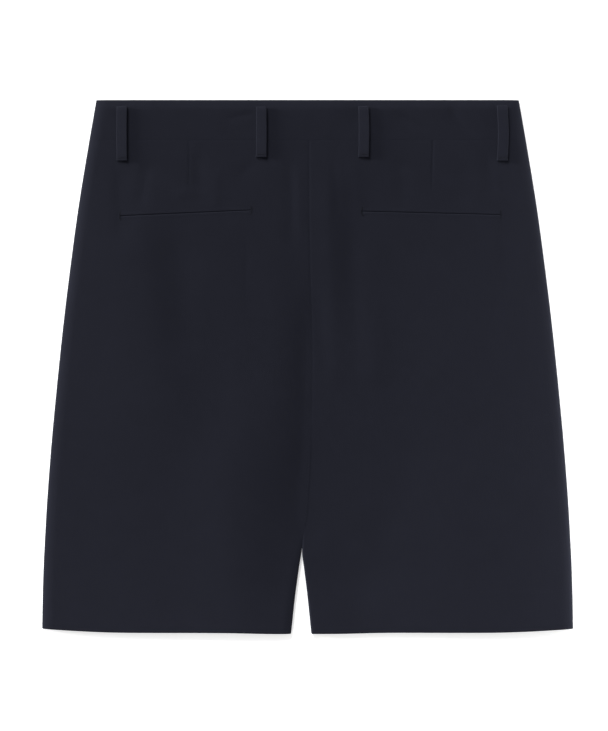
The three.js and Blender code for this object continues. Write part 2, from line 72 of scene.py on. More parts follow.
# Half of the laid width, the place of the centre seam and the space beside it, down the garment. Where the
# space is less than nothing, the legs press together.
LEVELS = [
    {"down": 0, "half": 211, "centre": 1.6, "parting": 0},
    {"down": 45, "half": 218.8, "centre": 1.6, "parting": 0},
    {"down": 105, "half": 228.6, "centre": 1.6, "parting": 0},
    {"down": 165, "half": 236.8, "centre": 2.6, "parting": 0},
    {"down": 225, "half": 244.1, "centre": 4.2, "parting": 0},
    {"down": 285, "half": 250.4, "centre": 4.6, "parting": 0},
    {"down": 345, "half": 256, "centre": 2.4, "parting": -0.1},
    {"down": 405, "half": 260.5, "centre": -1, "parting": -0.1},
    {"down": 448, "half": 262.8, "centre": -5.6, "parting": 0.05},
    {"down": 465, "half": 263.6, "centre": -6.1, "parting": 2.2},
    {"down": 495, "half": 264.5, "centre": -6.3, "parting": 6.1},
    {"down": 533, "half": 265.2, "centre": -6.4, "parting": 10.1},
]
# How far the hem's line rises towards the side seams
HEM_LINE = [
    {"out": 0, "lift": 0},
    {"out": 35, "lift": 0.1},
    {"out": 80, "lift": 1.1},
    {"out": 185, "lift": 1.4},
    {"out": 225, "lift": 2.7},
    {"out": 266, "lift": 5.2},
]

# Ridges and troughs of the laid back, each from x0 across and d0 down to x1 and d1. They are as wide to
# the left and to the right as they say, and a bend bows the middle sideways.
Fold = namedtuple("Fold", "x0 d0 x1 d1 left right rise bend", defaults=(0,))
BACK_FOLDS = {
    "seat hollow": Fold(x0=26, d0=34, x1=18, d1=460, left=100, right=170, rise=-1.3),
    "seat valley": Fold(x0=4, d0=110, x1=-3, d1=500, left=26, right=110, rise=-1.7),
    "centre crease": Fold(x0=8, d0=165, x1=-1, d1=470, left=15, right=15, rise=-2.2, bend=1),
    "right seat step": Fold(x0=44, d0=50, x1=54, d1=400, left=21, right=110, rise=-1.6, bend=1),
    "right thigh step": Fold(x0=82, d0=120, x1=98, d1=400, left=18, right=100, rise=-0.8),
    "left side swell": Fold(x0=-184, d0=60, x1=-136, d1=390, left=60, right=32, rise=1.5),
    "left hip trough": Fold(x0=-136, d0=108, x1=-124, d1=280, left=22, right=18, rise=-0.9, bend=3),
    "left thigh trough": Fold(x0=-98, d0=190, x1=-86, d1=360, left=24, right=20, rise=-0.7, bend=3),
    "left seat trough": Fold(x0=-62, d0=110, x1=-56, d1=340, left=22, right=20, rise=-0.35, bend=4),
    "seam ridge": Fold(x0=22, d0=40, x1=25, d1=260, left=12, right=18, rise=0.8, bend=1),
    "right seat ridge": Fold(x0=50, d0=96, x1=76, d1=320, left=16, right=24, rise=0.95),
    "right seat trough": Fold(x0=34, d0=70, x1=58, d1=230, left=16, right=24, rise=-0.7),
    "fold end": Fold(x0=6, d0=298, x1=96, d1=302, left=70, right=20, rise=-1.4),
    "right side swell": Fold(x0=128, d0=120, x1=136, d1=360, left=50, right=50, rise=0.4),
    "left leg swell": Fold(x0=-74, d0=240, x1=-66, d1=680, left=40, right=44, rise=2.3),
    "left leg fall": Fold(x0=-6, d0=330, x1=-8, d1=640, left=44, right=90, rise=-2.3),
    "right leg trough": Fold(x0=50, d0=280, x1=62, d1=650, left=34, right=80, rise=-3.0, bend=2),
    "left ripple": Fold(x0=-19, d0=42, x1=-17, d1=170, left=7, right=7, rise=-0.36, bend=1),
    "left ripple crest": Fold(x0=-9, d0=46, x1=-8, d1=150, left=4, right=5, rise=0.22),
    "right ripple": Fold(x0=26, d0=44, x1=29, d1=130, left=5, right=4, rise=-0.3, bend=1),
    "right ripple crest": Fold(x0=44, d0=50, x1=52, d1=120, left=5, right=6, rise=0.24),
    "yoke ripple 1": Fold(x0=-158, d0=58, x1=-168, d1=112, left=7, right=6, rise=-0.39),
    "yoke ripple 2": Fold(x0=-110, d0=44, x1=-106, d1=108, left=8, right=7, rise=-0.45),
    "yoke ripple 3": Fold(x0=-90, d0=66, x1=-92, d1=112, left=6, right=6, rise=0.27),
    "yoke ripple 4": Fold(x0=-74, d0=82, x1=-48, d1=58, left=6, right=6, rise=-0.3),
    "yoke ripple 5": Fold(x0=92, d0=52, x1=96, d1=112, left=9, right=8, rise=-0.39),
    "yoke ripple 6": Fold(x0=150, d0=62, x1=160, d1=108, left=9, right=8, rise=-0.42),
    "yoke ripple 7": Fold(x0=176, d0=44, x1=186, d1=104, left=7, right=6, rise=-0.42),
    "yoke ripple 8": Fold(x0=-140, d0=96, x1=-92, d1=92, left=5, right=6, rise=0.3, bend=1),
    "left bag side": Fold(x0=-186, d0=50, x1=-184, d1=152, left=8, right=18, rise=-0.5, bend=-1),
    "left bag edge": Fold(x0=-61, d0=118, x1=-62, d1=226, left=2.6, right=2.4, rise=-0.12),
    "left bag foot": Fold(x0=-70, d0=217, x1=-24, d1=218, left=2.6, right=2.6, rise=0.14),
    "right bag side": Fold(x0=193, d0=84, x1=195, d1=212, left=6, right=14, rise=-0.4, bend=1),
    "right bag foot": Fold(x0=196, d0=206, x1=168, d1=209, left=2.6, right=2.6, rise=-0.16),
}
FOLD_REACH = 3
FOLD_FADE = 0.3
DARTS = {
    -1: {"top": -118, "point": -118, "depth": 0.14, "width": 1.1},
    1: {"top": 125, "point": 123.6, "depth": 0.26, "width": 1.1},
}
DART_LENGTH = 52
DART_FADE = (70, 94)
WAIST_GROOVE = {"depth": 0.1, "width": 0.9}
SEAT_GROOVE = {"depth": 0.16, "width": 1.4}
# Mouths of the pockets, and the widths of their slits at both ends
POCKETS = {
    "left": {"inner": -56.8, "outer": -186.7, "inner_down": 110.2, "outer_down": 116, "slits": (0.2, 0.4)},
    "right": {"inner": 54.8, "outer": 192.4, "inner_down": 111.2, "outer_down": 114.8, "slits": (0.3, 0.25)},
}
WELT_WIDTH = 4
WELT_SINK = {"depth": 0.6, "level": 2.4, "edge": 0.6, "end": 0.01}
DART_COLUMNS = 75
DART_CROWDING = 1.12
SIDE_COLUMNS = 14
INNER_COLUMNS = 9


def clamp(value, low, high):
    return min(high, max(low, value))


def ease(start, end, value):
    t = clamp((value - start) / (end - start), 0, 1)
    return t * t * (3 - 2 * t)


def ease_past(place, reach, value):
    return ease(place - reach, place + reach, value)


def away_from_ends(fade, along):
    """From 0 up to 1 over a share of the way, and down again over the same share at the end."""
    return ease(0, fade, along) * (1 - ease(1 - fade, 1, along))


def mix(start, end, share):
    return start + (end - start) * share


def spread(start, end, steps):
    return [mix(start, end, i / steps) for i in range(steps + 1)]


def half_turn(steps):
    """The angles inside a fold of the cloth, between its two faces."""
    return [math.pi * i / steps for i in range(1, steps)]


def curve_of(table, key, column):
    """A smooth curve through one column of a table, as a function of its key column."""

    def slope(i):
        before, after = table[max(i - 1, 0)], table[min(i + 1, len(table) - 1)]
        return (after[column] - before[column]) / (after[key] - before[key])

    @functools.lru_cache(maxsize=None)
    def at(value):
        value = clamp(value, table[0][key], table[-1][key])
        i = sum(row[key] <= value for row in table[1:-1])
        span = table[i + 1][key] - table[i][key]
        t = (value - table[i][key]) / span
        pull = (t**3 - 2 * t**2 + t) * span * slope(i) + (t**3 - t**2) * span * slope(i + 1)
        return mix(table[i][column], table[i + 1][column], t * t * (3 - 2 * t)) + pull

    return at


half_width = curve_of(LEVELS, "down", "half")
centre_line = curve_of(LEVELS, "down", "centre")
parting = curve_of(LEVELS, "down", "parting")
hem_lift = curve_of(HEM_LINE, "out", "lift")


def place_y(x, down):
    return WAIST_Y - down + hem_lift(abs(x)) * ease(LENGTH - 3 * HEM_DEPTH, LENGTH, down)


def fold_height(fold, x, down):
    """Bell-shaped across the fold, and dying away towards both of its ends."""
    run_x, run_d = fold.x1 - fold.x0, fold.d1 - fold.d0
    run = math.hypot(run_x, run_d)
    along = ((x - fold.x0) * run_x + (down - fold.d0) * run_d) / run**2
    if not 0 < along < 1:
        return 0
    across = ((x - fold.x0) * run_d - (down - fold.d0) * run_x) / run
    across -= fold.bend * math.sin(math.pi * along)
    across /= fold.left if across < 0 else fold.right
    if abs(across) > FOLD_REACH:
        return 0
    return fold.rise * math.exp(-across * across) * away_from_ends(FOLD_FADE, along)


@functools.lru_cache(maxsize=None)
def back_folds_at(down):
    """The folds of the back that reach this length down."""

    def reaches(fold):
        run_x, run_d = fold.x1 - fold.x0, fold.d1 - fold.d0
        reach = FOLD_REACH * max(fold.left, fold.right) * abs(run_x) / math.hypot(run_x, run_d) + 1
        return min(fold.d0, fold.d1) - reach < down < max(fold.d0, fold.d1) + reach

    return [fold for fold in BACK_FOLDS.values() if reaches(fold)]


def side_dome(x):
    """How much lower the back lies towards its sides."""
    return sum(row["drop"] * ease(row["start"], SIDE_DROP_END, side * x) for side, row in SIDE_DROPS.items())


def groove(shape, beside):
    """How deep a seam draws the cloth in, at a distance beside it."""
    return shape["depth"] * math.exp(-((beside / shape["width"]) ** 2))


def back_height(x, down):
    """Outer face of the back. The doubled hem lies flatter, and no fold sinks into the front."""
    folds = sum(fold_height(fold, x, down) for fold in back_folds_at(down))
    flatter = HEM_FLATTENING * ease_past(HEM_TOP, HEM_FLATTENING_REACH, down)
    hem_step = HEM_STEP * ease_past(HEM_TOP, HEM_STEP_REACH, down)
    height = BACK_LEVEL - side_dome(x) + folds * (1 - flatter) + hem_step
    return (height + LIES_ON_FRONT + math.hypot(height - LIES_ON_FRONT, LANDING_SOFTNESS)) / 2


def under_welts(x, down):
    """How far a panel sinks where the welts of its pocket cover it."""
    pocket = POCKETS["left" if x < 0 else "right"]
    along = (x - pocket["inner"]) / (pocket["outer"] - pocket["inner"])
    beside = abs(down - mix(pocket["inner_down"], pocket["outer_down"], along))
    past_edge = ease(WELT_WIDTH - WELT_SINK["level"], WELT_WIDTH - WELT_SINK["edge"], beside)
    return WELT_SINK["depth"] * away_from_ends(WELT_SINK["end"], along) * (1 - past_edge)


@functools.lru_cache(maxsize=None)
def inner_turn(down):
    """How far the centre edge has turned from a flat seam into a rolled inner edge."""
    return math.pi / 2 * ease_past(CROTCH_DOWN, CROTCH_EASE, down)


def centre_edge(side, down):
    return side * centre_line(down) + parting(down)


def dart_line(side, down):
    """Distance out from X = 0 of the dart, and the length down that it is taken at."""
    until = min(down, WAISTBAND_DEPTH + DART_LENGTH)
    dart = DARTS[side]
    return side * mix(dart["top"], dart["point"], (until - WAISTBAND_DEPTH) / DART_LENGTH), until


def across_panel(side, station, down, side_roll, inner_roll):
    """Distance out from X = 0 of one station, how much of it is roll, and its turn over the edge."""
    part, amount = station
    side_start = half_width(down) - side_roll
    inner_start = centre_edge(side, down) + inner_roll
    if part == "side":
        turn = amount * math.pi / 2
        return side_start, side_roll, turn
    if part == "inner":
        full = inner_turn(down)
        turn = amount * full
        reach = math.sin(turn) / math.sin(full) if full > FLAT_TURN else amount
        return inner_start - inner_roll * reach, 0, turn
    dart_out, until = dart_line(side, down)
    side_at, inner_at = half_width(until) - side_roll, centre_edge(side, until) + inner_roll
    dart_share = (side_at - dart_out) / (side_at - inner_at)
    share = dart_share * (1 + amount) if amount < 0 else mix(dart_share, 1, amount)
    return mix(side_start, inner_start, share), 0, 0


def back_point(side, station, row):
    """Rows give a length down, and how deep under the outer face the cloth lies."""
    down, depth = row
    out, roll, turn = across_panel(side, station, down, SIDE_ROLL, INNER_ROLLS[side])
    out += (roll - depth) * math.sin(turn) if roll else depth * math.sin(turn)
    x = side * out
    height = back_height(x, down) - depth
    dart_out, until = dart_line(side, down)
    if until == down:
        height -= groove(DARTS[side], out - dart_out) * (1 - ease(*DART_FADE, down))
    height -= groove(SEAT_GROOVE, out - centre_edge(side, down)) * math.cos(inner_turn(down))
    height -= TUCK_SINK * (1 - ease(WAISTBAND_DEPTH - TUCK_EDGE, WAISTBAND_DEPTH, down))
    height -= groove(WAIST_GROOVE, down - WAISTBAND_DEPTH) + under_welts(x, down)
    z = SEAM_HEIGHT + (height - SEAM_HEIGHT) * math.cos(turn)
    return Vector((x, place_y(x, down), z)) * MM


def hemmed(downs):
    """Rows of a panel that go down its face, round the fold of the hem and up inside."""
    radius = HEM_FOLD / 2
    face = [(down, 0) for down in downs if down < LENGTH - radius]
    fold = [
        (LENGTH - radius + radius * math.sin(turn), radius - radius * math.cos(turn)) for turn in half_turn(8)
    ]
    inside = [(down, HEM_FOLD) for down in spread(LENGTH - radius, HEM_TOP, steps=10)]
    return face + fold + inside


def laid_cloth(name, stations, rows, place, thickness, mirrored=False):
    """A sheet with a column for each station and a row for each length down, and its cut as UV map."""
    bpy.ops.mesh.primitive_grid_add(x_subdivisions=len(stations) - 1, y_subdivisions=len(rows) - 1, size=2)
    sheet = bpy.context.object
    sheet.name = sheet.data.name = name
    last_column, last_row = len(stations) - 1, len(rows) - 1
    grid = [[place(station, row) for station in stations] for row in rows]
    for vertex in sheet.data.vertices:
        column = round((vertex.co.x + 1) / 2 * last_column)
        row = round((1 - vertex.co.y) / 2 * last_row)
        vertex.co = grid[row][column]
    wide, long = [0], [0]
    for column in range(last_column):
        middle = grid[last_row // 2]
        wide.append(wide[-1] + (middle[column + 1] - middle[column]).length)
    for row in range(last_row):
        column = last_column // 2
        long.append(long[-1] + (grid[row + 1][column] - grid[row][column]).length)
    cut = sheet.data.uv_layers[0]
    cut.name = "cut"
    for corner in cut.data:
        column, row = round(corner.uv.x * last_column), round((1 - corner.uv.y) * last_row)
        corner.uv = (wide[column], long[-1] - long[row])
    if mirrored:
        sheet.data.flip_normals()
    modifier = sheet.modifiers.new("cloth", "SOLIDIFY")
    modifier.thickness = thickness * MM
    modifier.offset = -1
    modifier.use_even_offset = True
    bpy.ops.object.modifier_apply(modifier="cloth")
    bpy.ops.object.shade_smooth_by_angle(angle=math.radians(CREASE_ANGLE))
    return sheet


def finished(piece, material, slot, *nodes):
    """Gives a piece its material and its place in the part."""
    piece.data.materials.clear()
    piece.data.materials.append(material)
    if nodes:
        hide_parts(*nodes)
    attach(piece, "root")
    return piece


class Wire:
    """An output of a material's node, on which arithmetic adds Math nodes."""

    def __init__(self, finish, socket):
        self.finish, self.socket = finish, socket

    def also(self, output):
        return Wire(self.finish, self.socket.node.outputs[output])

    def math(self, operation, first, second):
        return self.finish.node("ShaderNodeMath", {"operation": operation}, {0: first, 1: second})

    def __add__(self, other):
        return self.math("ADD", self, other)

    def __radd__(self, other):
        return self.math("ADD", other, self)

    def __sub__(self, other):
        return self.math("SUBTRACT", self, other)

    def __rsub__(self, other):
        return self.math("SUBTRACT", other, self)

    def __mul__(self, other):
        return self.math("MULTIPLY", self, other)

    def __rmul__(self, other):
        return self.math("MULTIPLY", other, self)

    def sine(self):
        return self.math("SINE", self, 0)


class Finish:
    """A material with one Principled shader, and one method that adds any other node."""

    def __init__(self, name):
        self.material = bpy.data.materials.new(name)
        self.material.use_nodes = True
        self.tree = self.material.node_tree

    def node(self, kind, settings, inputs, output=0):
        made = self.tree.nodes.new(kind)
        for key, value in settings.items():
            setattr(made, key, value)
        self.feed(made, inputs)
        return Wire(self, made.outputs[output])

    def feed(self, node, inputs):
        for key, value in inputs.items():
            if isinstance(value, Wire):
                self.tree.links.new(value.socket, node.inputs[key])
            else:
                node.inputs[key].default_value = value

    def blend(self, factor, dark, light):
        """A colour between two, by a factor that varies over the surface."""
        ends = {"Factor": factor, 6: (*dark, 1), 7: (*light, 1)}
        return self.node("ShaderNodeMix", {"data_type": "RGBA"}, ends, 2)

    def noise(self, where, scale, stretch=(1, 1, 1), detail=2.0):
        placed = self.node("ShaderNodeMapping", {}, {"Vector": where, "Scale": stretch})
        return self.node("ShaderNodeTexNoise", {}, {"Vector": placed, "Scale": scale, "Detail": detail})

    def bump(self, height, distance, strength):
        return self.node("ShaderNodeBump", {}, {"Height": height, "Distance": distance, "Strength": strength})

    def shade(self, **inputs):
        named = {key.replace("_", " "): value for key, value in inputs.items()}
        self.feed(self.tree.nodes["Principled BSDF"], named)
        return self.material


def worsted_cloth():
    """Fine plain weave in two shades of navy, with a faint grain along the warp and a soft nap."""
    dark, light = (0.0075, 0.0081, 0.0131), (0.0111, 0.0120, 0.0193)
    thread_pitch = 0.0005
    cloth = Finish("navy_worsted")
    cut = cloth.node("ShaderNodeUVMap", {"uv_map": "cut"}, {})
    across = cloth.node("ShaderNodeSeparateXYZ", {}, {0: cut})
    turns = 2 * math.pi / thread_pitch
    weave = (across * turns).sine() * (across.also("Y") * turns).sine()
    grain = cloth.noise(cut, 1.0, stretch=(900, 60, 1))
    patches = cloth.noise(cut, 45.0, detail=3.0)
    weave_share, grain_share, patch_share = 0.18, 0.5, 0.35
    tone = 0.5 + weave_share * weave + grain_share * (grain - 0.5) + patch_share * (patches - 0.5)
    return cloth.shade(
        Base_Color=cloth.blend(tone, dark, light),
        Roughness=0.86,
        Normal=cloth.bump(0.35 * weave + 0.7 * grain, 0.0002, 0.35),
        Specular_IOR_Level=0.08,
        Sheen_Weight=0.16,
        Sheen_Roughness=0.3,
        Sheen_Tint=(0.70, 0.74, 0.90, 1),
    )


navy_cloth = worsted_cloth()
seam_rows = [WAISTBAND_DEPTH + beyond for beyond in (-TUCK, -1.2, -0.3, -0.1, 0.05, 0.2, 0.8, 2, 3.8)]
back_downs = [
    *seam_rows,
    *spread(WAISTBAND_DEPTH + 6, 101, steps=26),
    *spread(103, 123, steps=26),
    *spread(125, HEM_TOP - 10, steps=130),
    *(HEM_TOP + beyond for beyond in (-8, -6, -4, -2.4, -1.2, 0, 1.2, 2.4, 4, 6, 8)),
    *spread(HEM_TOP + 11, LENGTH - 1, steps=10),
]
dart_shares = spread(-1, 1, 2 * DART_COLUMNS)
back_stations = [("side", 1 - i / SIDE_COLUMNS) for i in range(SIDE_COLUMNS)]
back_stations += [("level", math.copysign(abs(share) ** DART_CROWDING, share)) for share in dart_shares]
back_stations += [("inner", (i + 1) / INNER_COLUMNS) for i in range(INNER_COLUMNS)]

for word, side in (("left", -1), ("right", 1)):
    panel = laid_cloth(
        f"back_panel_{word}",
        back_stations,
        hemmed(back_downs),
        lambda station, row: back_point(side, station, row),
        CLOTH,
        mirrored=side > 0,
    )
    finished(panel, navy_cloth, "navy_cloth", f"back_{word}")

# Front panels
# Two plain panels of the same cloth that lie on the table under the back. They come up at the side and
# inside leg seams to meet it, and are turned up at the hem in the same way.
FRONT_REST = 0.25
FRONT_ROLL = 3
FRONT_LOOPS = {"left": -108, "right": 108}
FRONT_LOOP_TOP = 6.5
FRONT_LOOP_FOOT = 59
LOOP_WIDTH = 10.5
LOOP_CLOTH = 1.5
BUTTON = {"x": -10, "down": 20, "radius": 8.5, "thickness": 2.4, "room": 0.2, "lifts": (9.5, 26)}
LOOP_ROOM = 0.1
LIFT_REACH = (0.5, 9)
FRONT_EDGE_COLUMNS = 6


def front_low(x, down):
    """Underside of the front: on the table, but lifted over the front loops and the button."""
    low = FRONT_REST
    if down > FRONT_LOOP_FOOT + LIFT_REACH[1] + 1:
        return low
    from_button = math.hypot(x - BUTTON["x"], down - BUTTON["down"])
    low = max(low, (BUTTON["thickness"] + BUTTON["room"]) * (1 - ease(*BUTTON["lifts"], from_button)))
    for loop_x in FRONT_LOOPS.values():
        beside = abs(x - loop_x) - LOOP_WIDTH / 2
        past = max(FRONT_LOOP_TOP - down, down - FRONT_LOOP_FOOT)
        away = (1 - ease(*LIFT_REACH, beside)) * (1 - ease(*LIFT_REACH, past))
        low = max(low, (LOOP_CLOTH + LOOP_ROOM) * away)
    return low


def front_point(side, station, row):
    down, depth = row
    part, amount = station
    if part == "level":
        start, end = half_width(down) - FRONT_ROLL, centre_edge(side, down) + FRONT_ROLL
        out, turn = mix(start, end, amount), 0
    else:
        out, roll, turn = across_panel(side, station, down, FRONT_ROLL, FRONT_ROLL)
        out += (roll - depth) * math.sin(turn) if roll else depth * math.sin(turn)
    x = side * out
    low = front_low(x, down) + depth
    z = SEAM_HEIGHT - (SEAM_HEIGHT - low) * math.cos(turn)
    return Vector((x, place_y(x, down), z)) * MM


front_downs = [
    *seam_rows,
    *spread(WAISTBAND_DEPTH + 6, 70, steps=8),
    *spread(76, HEM_TOP - 8, steps=44),
    *spread(HEM_TOP, LENGTH - 1, steps=8),
]
front_side_stations = [("side", 1 - i / FRONT_EDGE_COLUMNS) for i in range(FRONT_EDGE_COLUMNS)]
front_stations = front_side_stations + [("level", share) for share in spread(0, 1, steps=90)]
front_stations += [("inner", (i + 1) / FRONT_EDGE_COLUMNS) for i in range(FRONT_EDGE_COLUMNS)]

front_panels = {}
for word, side in (("left", -1), ("right", 1)):
    panel = laid_cloth(
        f"front_panel_{word}",
        front_stations,
        hemmed(front_downs),
        lambda station, row: front_point(side, station, row),
        CLOTH,
        mirrored=side < 0,
    )
    front_panels[word] = finished(panel, navy_cloth, "navy_cloth", f"front_{word}")

# Waistband
# A straight band, folded at its top edge and open at its seam, with room inside for a stiffening. One
# piece goes across the back, and one goes from each side to the front closure.
BAND_LEVEL = 6.6
BAND_CLOTH = 2.2
BAND_FRONT_CLOTH = 2
BAND_ROLL = {"drop": 1.9, "down": (-4, 11)}
CLOSURE_SWELL = {"rise": 0.2, "left": (-50, -18), "right": (22, 54)}
OWN_FORM_UNTIL = 6
TOP_FOLD = 2.2
EDGE_DRAW = 0.4
BAND_FOLDS = {
    "drag 1": Fold(x0=84, d0=10, x1=142, d1=42, left=6, right=4, rise=-1, bend=-2),
    "drag 2": Fold(x0=138, d0=4, x1=172, d1=44, left=6, right=4, rise=-0.95, bend=-2),
    "drag 3": Fold(x0=60, d0=24, x1=92, d1=46, left=6, right=4, rise=-0.7),
    "crest 1": Fold(x0=104, d0=2, x1=160, d1=36, left=5, right=5, rise=0.45),
    "crest 2": Fold(x0=150, d0=0, x1=186, d1=30, left=5, right=5, rise=0.32),
    "pull 1": Fold(x0=-84, d0=20, x1=-50, d1=13, left=3.5, right=3.5, rise=-0.36),
    "pull 2": Fold(x0=-82, d0=33, x1=-50, d1=29, left=3.5, right=3.5, rise=-0.36),
    "pull 3": Fold(x0=-36, d0=8, x1=-14, d1=24, left=5, right=4, rise=-0.32),
    "dent 1": Fold(x0=-187, d0=2, x1=-187, d1=46, left=11, right=8, rise=-0.2),
    "dent 2": Fold(x0=-49, d0=0, x1=-49, d1=48, left=12, right=8, rise=-0.2),
    "dent 3": Fold(x0=51, d0=0, x1=51, d1=50, left=15, right=8, rise=-0.5),
    "dent 4": Fold(x0=191, d0=2, x1=191, d1=48, left=12, right=7, rise=-0.2),
}


@functools.lru_cache(maxsize=None)
def at_waist_seam(x):
    return back_height(x, WAISTBAND_DEPTH)


def band_height(x, down):
    """Outer face of the back waistband, which rolls down to the top fold."""
    swell = CLOSURE_SWELL["rise"] * ease(*CLOSURE_SWELL["left"], x) * (1 - ease(*CLOSURE_SWELL["right"], x))
    roll = BAND_ROLL["drop"] * (1 - ease(*BAND_ROLL["down"], down))
    folds = sum(fold_height(fold, x, down) for fold in BAND_FOLDS.values())
    own = BAND_LEVEL + swell - roll - side_dome(x) + folds
    height = mix(own, at_waist_seam(round(x, 2)), ease(OWN_FORM_UNTIL, WAISTBAND_DEPTH, down))
    return height - groove(WAIST_GROOVE, down - WAISTBAND_DEPTH)


def band_rows(thickness):
    """Rows up the outer face, over the top fold and down inside."""
    radius = (thickness - CLOTH) / 2
    rise = spread(WAISTBAND_DEPTH, TOP_FOLD, steps=28)
    over = [(TOP_FOLD * (1 - math.sin(turn)), radius - radius * math.cos(turn)) for turn in half_turn(10)]
    return [(down, 0) for down in rise] + over + [(down, 2 * radius) for down in reversed(rise[::3])]


def back_band_point(station, row):
    down, depth = row
    part, amount = station
    side_start = half_width(down) - SIDE_ROLL
    turn = abs(amount) * math.pi / 2 if part == "side" else 0
    x = math.copysign(side_start + (SIDE_ROLL - depth) * math.sin(turn), amount)
    if part == "level":
        x = amount * side_start
    height = band_height(x, down) - depth
    z = SEAM_HEIGHT + (height - SEAM_HEIGHT) * math.cos(turn)
    return Vector((x, place_y(x, down), z)) * MM


def front_band_point(side, station, row):
    down, depth = row
    part, amount = station
    side_start = half_width(down) - FRONT_ROLL
    turn = amount * math.pi / 2 if part == "side" else 0
    out = side_start + (FRONT_ROLL - EDGE_DRAW * depth) * math.sin(turn)
    if part == "level":
        out = mix(side_start, centre_edge(side, down), amount)
    x = side * out
    low = front_low(x, down) + depth
    z = SEAM_HEIGHT - (SEAM_HEIGHT - low) * math.cos(turn)
    return Vector((x, place_y(x, down), z)) * MM


side_shares = [1 - i / SIDE_COLUMNS for i in range(SIDE_COLUMNS)]
band_stations = [("side", -share) for share in side_shares]
band_stations += [("level", share) for share in spread(-1, 1, steps=230)]
band_stations += [("side", share) for share in reversed(side_shares)]
upside_down = list(reversed(band_rows(BAND_CLOTH)))
back_band = laid_cloth("waistband_back_cloth", band_stations, upside_down, back_band_point, CLOTH)
finished(back_band, navy_cloth, "navy_cloth", "waistband_back")

front_band_stations = front_side_stations + [("level", share) for share in spread(0, 1, steps=110)]
for word, side in (("left", -1), ("right", 1)):
    band = laid_cloth(
        f"waistband_front_cloth_{word}",
        front_band_stations,
        band_rows(BAND_FRONT_CLOTH),
        lambda station, row: front_band_point(side, station, row),
        CLOTH,
        mirrored=side > 0,
    )
    finished(band, navy_cloth, "navy_cloth", f"waistband_front_{word}")

# Back pocket welts
# Each pocket mouth is a slit between two narrow folds of cloth, the welts. A close row of stitches holds
# each end, bowed like a D.
WELT_CLOTH = 0.45
WELT_CROWN = 0.1
WELT_FALL = {"depth": 0.45, "rate": 12}
WELT_COLUMNS = 110
WELT_ROWS = 12
STITCH_RADIUS = 0.1
STITCH = {"straight": 0.3, "ends": 0.4, "taper": 0.5, "sink": 1.2}
POCKET_TACK = {"reach": 4.6, "stitches": 22, "length": 1.9, "lean": 0.35, "proud": 0.05, "bow_from": 0.6}
POCKET_TACK_BOWS = {0: 1.8, 1: -0.6}


def sewing_thread():
    """Two-ply thread in the colour of the cloth."""
    thread = Finish("navy_thread")
    where = thread.node("ShaderNodeTexCoord", {}, {}, "Object")
    ply = thread.noise(where, 2500.0, stretch=(1, 2, 1))
    return thread.shade(
        Base_Color=thread.blend(ply, (0.0052, 0.0056, 0.0092), (0.0086, 0.0094, 0.0150)),
        Roughness=0.8,
        Normal=thread.bump(ply, 0.0001, 0.5),
        Specular_IOR_Level=0.15,
    )


def linked(name, data):
    """An object of its own for a mesh, a light or a camera."""
    made = bpy.data.objects.new(name, data)
    bpy.context.collection.objects.link(made)
    return made


def copied(piece, place):
    """A copy of a piece, with its place in its mesh."""
    copy = linked(piece.name, piece.data.copy())
    copy.data.transform(place)
    return copy


def joined(name, pieces):
    """One piece made of many."""
    bpy.ops.object.select_all(action="DESELECT")
    for piece in pieces:
        piece.select_set(True)
    bpy.context.view_layer.objects.active = pieces[0]
    bpy.ops.object.join()
    whole = bpy.context.object
    whole.name = whole.data.name = name
    return whole


def sewn(name, stitches, into=-1):
    """One piece of sewing. Each stitch is given by its middle, its direction in the cloth and its length,
    and its ends sink into the cloth, down or up."""
    radius = STITCH_RADIUS * MM
    bpy.ops.mesh.primitive_cylinder_add(vertices=6, radius=radius, depth=1, rotation=(0, math.pi / 2, 0))
    bpy.ops.object.transform_apply(location=False, rotation=True, scale=False)
    stitch = bpy.context.object
    bpy.ops.object.mode_set(mode="EDIT")
    for end in (-1, 1):
        bpy.ops.mesh.select_all(action="SELECT")
        bpy.ops.mesh.bisect(plane_co=(end * STITCH["straight"], 0, 0), plane_no=(1, 0, 0))
    bpy.ops.object.mode_set(mode="OBJECT")
    sunk = into * STITCH["sink"] * radius
    for vertex in stitch.data.vertices:
        x, y, z = vertex.co
        if abs(x) > STITCH["ends"]:
            vertex.co = (x, y * STITCH["taper"], z * STITCH["taper"] + sunk)
    copies = []
    for middle, angle, length in stitches:
        turn = Matrix.Rotation(angle, 4, "Z") @ Matrix.Diagonal((length * MM, 1, 1, 1))
        copies.append(copied(stitch, Matrix.Translation(middle * MM) @ turn))
    bpy.data.objects.remove(stitch)
    sewing = joined(name, copies)
    bpy.ops.object.shade_smooth()
    return finished(sewing, navy_thread, "navy_cloth")


